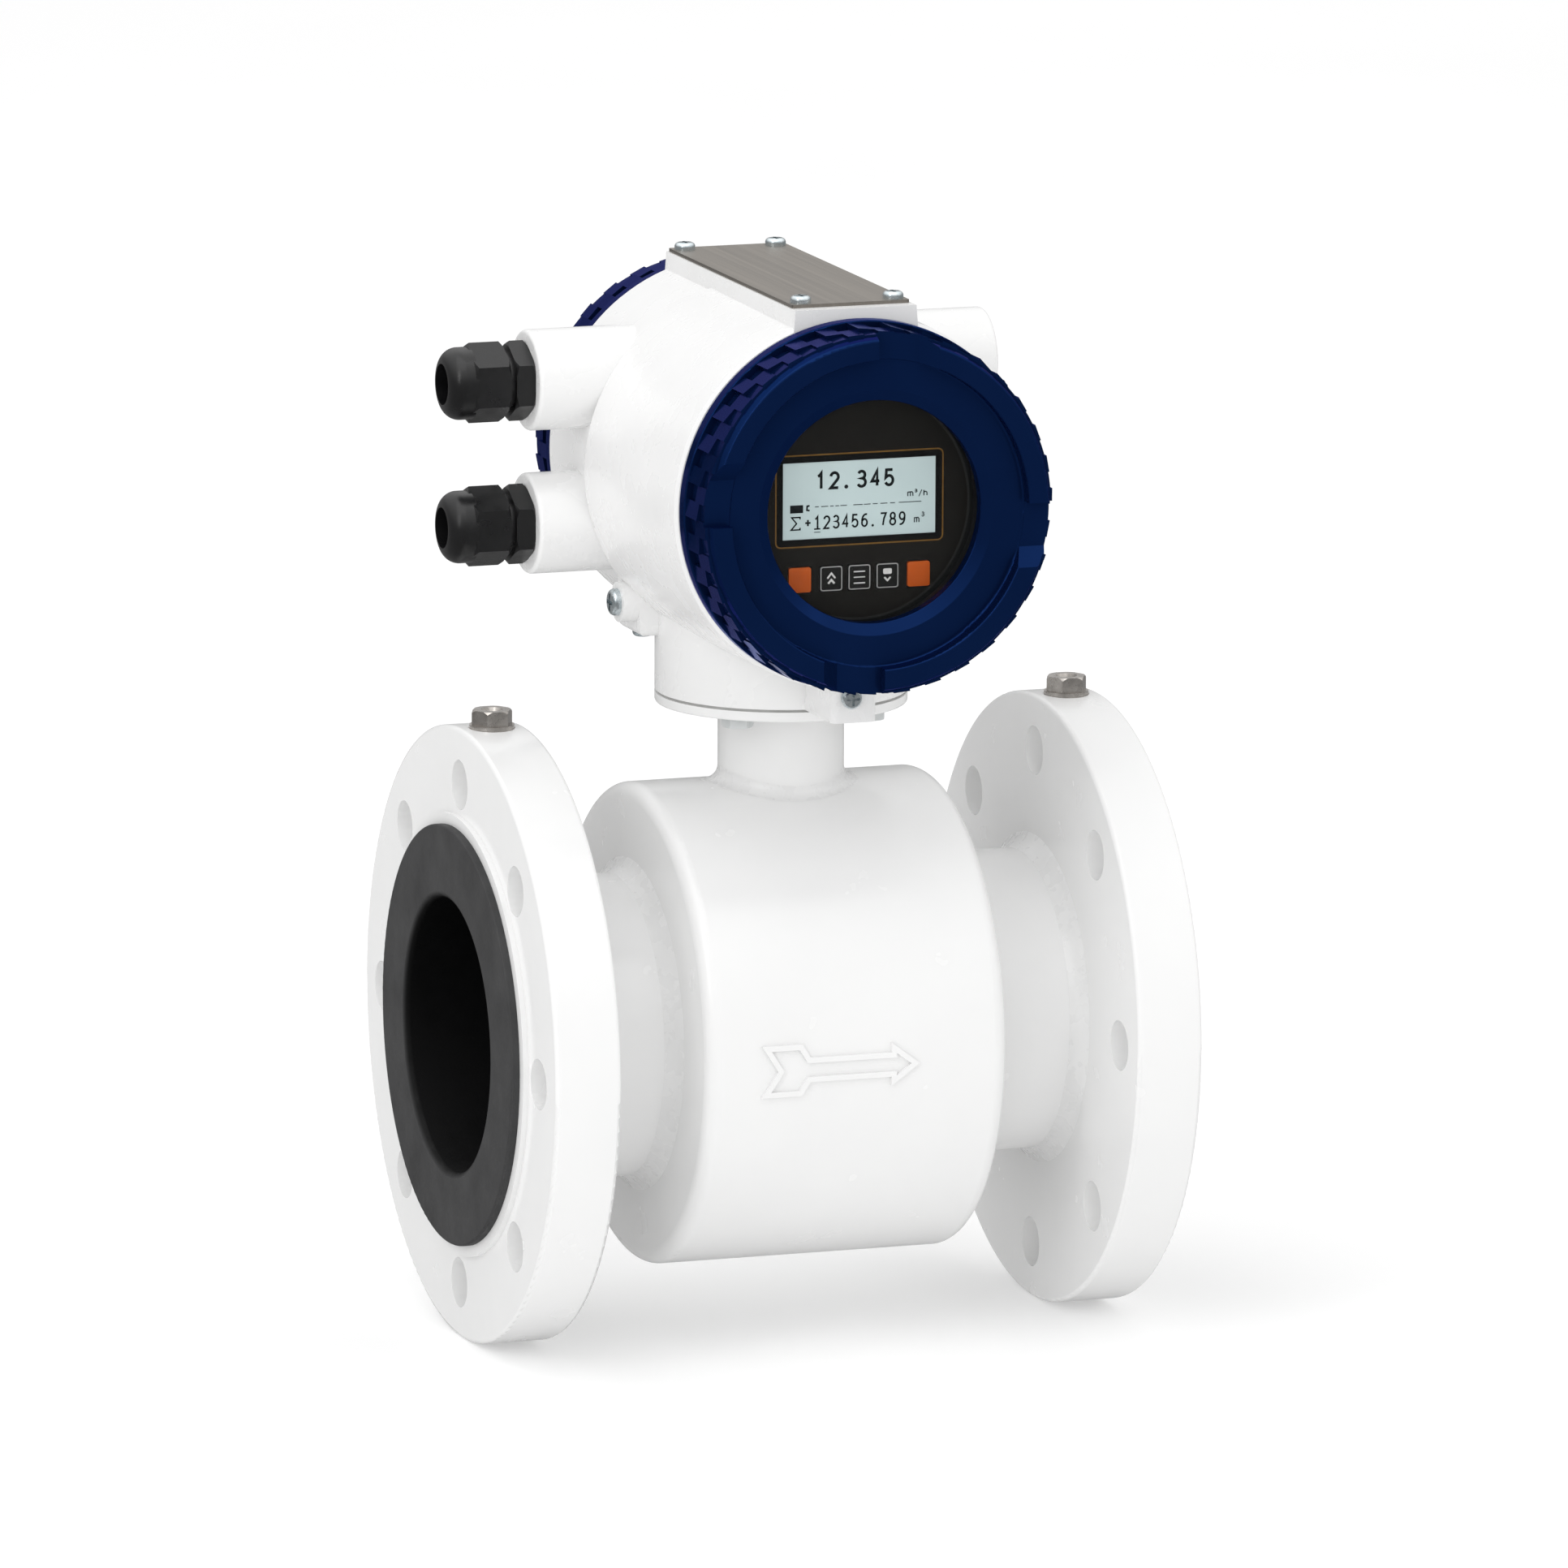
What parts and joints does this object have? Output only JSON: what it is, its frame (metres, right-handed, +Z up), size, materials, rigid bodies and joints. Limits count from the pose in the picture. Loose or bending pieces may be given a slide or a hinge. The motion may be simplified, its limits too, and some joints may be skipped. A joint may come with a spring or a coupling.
{
  "type": "electromagnetic flow meter",
  "caption": "Flanged electromagnetic flow meter with rubber-lined tube, welded coil housing, neck and round two-compartment display head with screw covers, keys and cable glands",
  "frame": {"origin": "centre of the flow bore at mid length", "axes": "+X along the flow, +Z up the neck to the head, -Y towards the display side"},
  "size_m": [0.25, 0.22, 0.3806],
  "materials": {
    "white_enamel": "gloss white enamel on steel and cast aluminium",
    "black_rubber": "matt black rubber",
    "navy_enamel": "gloss navy enamel on cast aluminium",
    "zinc_steel": "bright zinc plate",
    "plate_steel": "plain stainless sheet",
    "black_nylon": "semi-gloss black nylon",
    "clear_glass": "clear toughened glass",
    "fascia_print": "dark brown-black printed film",
    "dark_plastic": "matt black moulding",
    "display_face": "pale blue-grey liquid crystal face",
    "orange_key": "orange keycap",
    "dark_key": "dark keycap",
    "green_board": "green circuit board",
    "strip_plastic": "green terminal moulding",
    "coil_winding": "varnished copper winding",
    "core_steel": "bare magnetic steel",
    "bush_plastic": "natural insulating plastic"
  },
  "bodies": {
    "meter_body": {"inlet_flange": "white_enamel", "outlet_flange": "white_enamel", "measuring_tube": "white_enamel", "housing_shell": "white_enamel", "housing_ends": "white_enamel", "tube_welds": "white_enamel", "neck_tube": "white_enamel", "neck_weld": "white_enamel", "neck_disc": "white_enamel", "head_casting": "white_enamel", "liner": "black_rubber", "base_gasket": "black_rubber", "earth_bolts": "zinc_steel", "earth_washers": "zinc_steel", "neck_bolts": "zinc_steel", "nameplate_screws": "zinc_steel", "lug_screws": "zinc_steel", "lock_screws": "zinc_steel", "display_screws": "zinc_steel", "display_standoffs": "zinc_steel", "terminal_screws": "zinc_steel", "electrode_nuts": "zinc_steel", "electrodes": "zinc_steel", "stopping_plug": "zinc_steel", "nameplate": "plate_steel", "gland_bodies": "black_nylon", "fascia": "fascia_print", "display_holder": "dark_plastic", "key_switches": "dark_plastic", "signal_cable": "dark_plastic", "board_components": "dark_plastic", "lcd_panel": "display_face", "display_board": "green_board", "main_board": "green_board", "terminal_strip": "strip_plastic", "saddle_coils": "coil_winding", "pole_cores": "core_steel", "magnetic_yoke": "core_steel", "electrode_bushes": "bush_plastic"},
    "front_seal": {"front_seal": "black_rubber"},
    "front_cover": {"front_cover": "navy_enamel", "window_glass": "clear_glass", "glass_gasket": "black_rubber", "glass_retainer": "dark_plastic"},
    "rear_seal": {"rear_seal": "black_rubber"},
    "rear_cover": {"rear_cover": "navy_enamel"},
    "upper_gland_seal": {"upper_gland_seal": "black_rubber"},
    "upper_gland_nut": {"upper_gland_nut": "black_nylon"},
    "lower_gland_seal": {"lower_gland_seal": "black_rubber"},
    "lower_gland_nut": {"lower_gland_nut": "black_nylon"},
    "left_orange_key": {"left_orange_key": "orange_key"},
    "double_up_key": {"double_up_key": "dark_key"},
    "menu_key": {"menu_key": "dark_key"},
    "down_key": {"down_key": "dark_key"},
    "right_orange_key": {"right_orange_key": "orange_key"}
  },
  "joints": [
    {"name": "front_seal_slide", "type": "slide", "parent": "meter_body", "child": "front_seal", "axis": [0, -1, 0], "range_m": [0, 0.0121]},
    {"name": "front_cover_turn", "type": "hinge", "parent": "front_seal", "child": "front_cover", "pos_m": [0, -0.085, 0.198], "axis": [0, -1, 0], "range_deg": [0, 2160]},
    {"name": "rear_seal_slide", "type": "slide", "parent": "meter_body", "child": "rear_seal", "axis": [0, 1, 0], "range_m": [0, 0.0121]},
    {"name": "rear_cover_turn", "type": "hinge", "parent": "rear_seal", "child": "rear_cover", "pos_m": [0, 0.075, 0.198], "axis": [0, 1, 0], "range_deg": [0, 2160]},
    {"name": "upper_gland_seal_slide", "type": "slide", "parent": "meter_body", "child": "upper_gland_seal", "axis": [-1, 0, 0], "range_m": [0, 0.0061]},
    {"name": "upper_gland_nut_turn", "type": "hinge", "parent": "upper_gland_seal", "child": "upper_gland_nut", "pos_m": [-0.105, 0.03, 0.2285], "axis": [-1, 0, 0], "range_deg": [0, 1440]},
    {"name": "lower_gland_seal_slide", "type": "slide", "parent": "meter_body", "child": "lower_gland_seal", "axis": [-1, 0, 0], "range_m": [0, 0.0061]},
    {"name": "lower_gland_nut_turn", "type": "hinge", "parent": "lower_gland_seal", "child": "lower_gland_nut", "pos_m": [-0.105, 0.03, 0.177], "axis": [-1, 0, 0], "range_deg": [0, 1440]},
    {"name": "left_orange_key_press", "type": "slide", "parent": "meter_body", "child": "left_orange_key", "axis": [0, 1, 0], "range_m": [0, 0.0004], "stiffness_N_per_m": 500, "springref_m": -0.001},
    {"name": "double_up_key_press", "type": "slide", "parent": "meter_body", "child": "double_up_key", "axis": [0, 1, 0], "range_m": [0, 0.0004], "stiffness_N_per_m": 500, "springref_m": -0.001},
    {"name": "menu_key_press", "type": "slide", "parent": "meter_body", "child": "menu_key", "axis": [0, 1, 0], "range_m": [0, 0.0004], "stiffness_N_per_m": 500, "springref_m": -0.001},
    {"name": "down_key_press", "type": "slide", "parent": "meter_body", "child": "down_key", "axis": [0, 1, 0], "range_m": [0, 0.0004], "stiffness_N_per_m": 500, "springref_m": -0.001},
    {"name": "right_orange_key_press", "type": "slide", "parent": "meter_body", "child": "right_orange_key", "axis": [0, 1, 0], "range_m": [0, 0.0004], "stiffness_N_per_m": 500, "springref_m": -0.001}
  ],
  "couplings": [
    {"joint": "front_seal_slide", "follows": "front_cover_turn", "m_per_rad": 0.00031831},
    {"joint": "rear_seal_slide", "follows": "rear_cover_turn", "m_per_rad": 0.00031831},
    {"joint": "upper_gland_seal_slide", "follows": "upper_gland_nut_turn", "m_per_rad": 0.00023873},
    {"joint": "lower_gland_seal_slide", "follows": "lower_gland_nut_turn", "m_per_rad": 0.00023873}
  ]
}
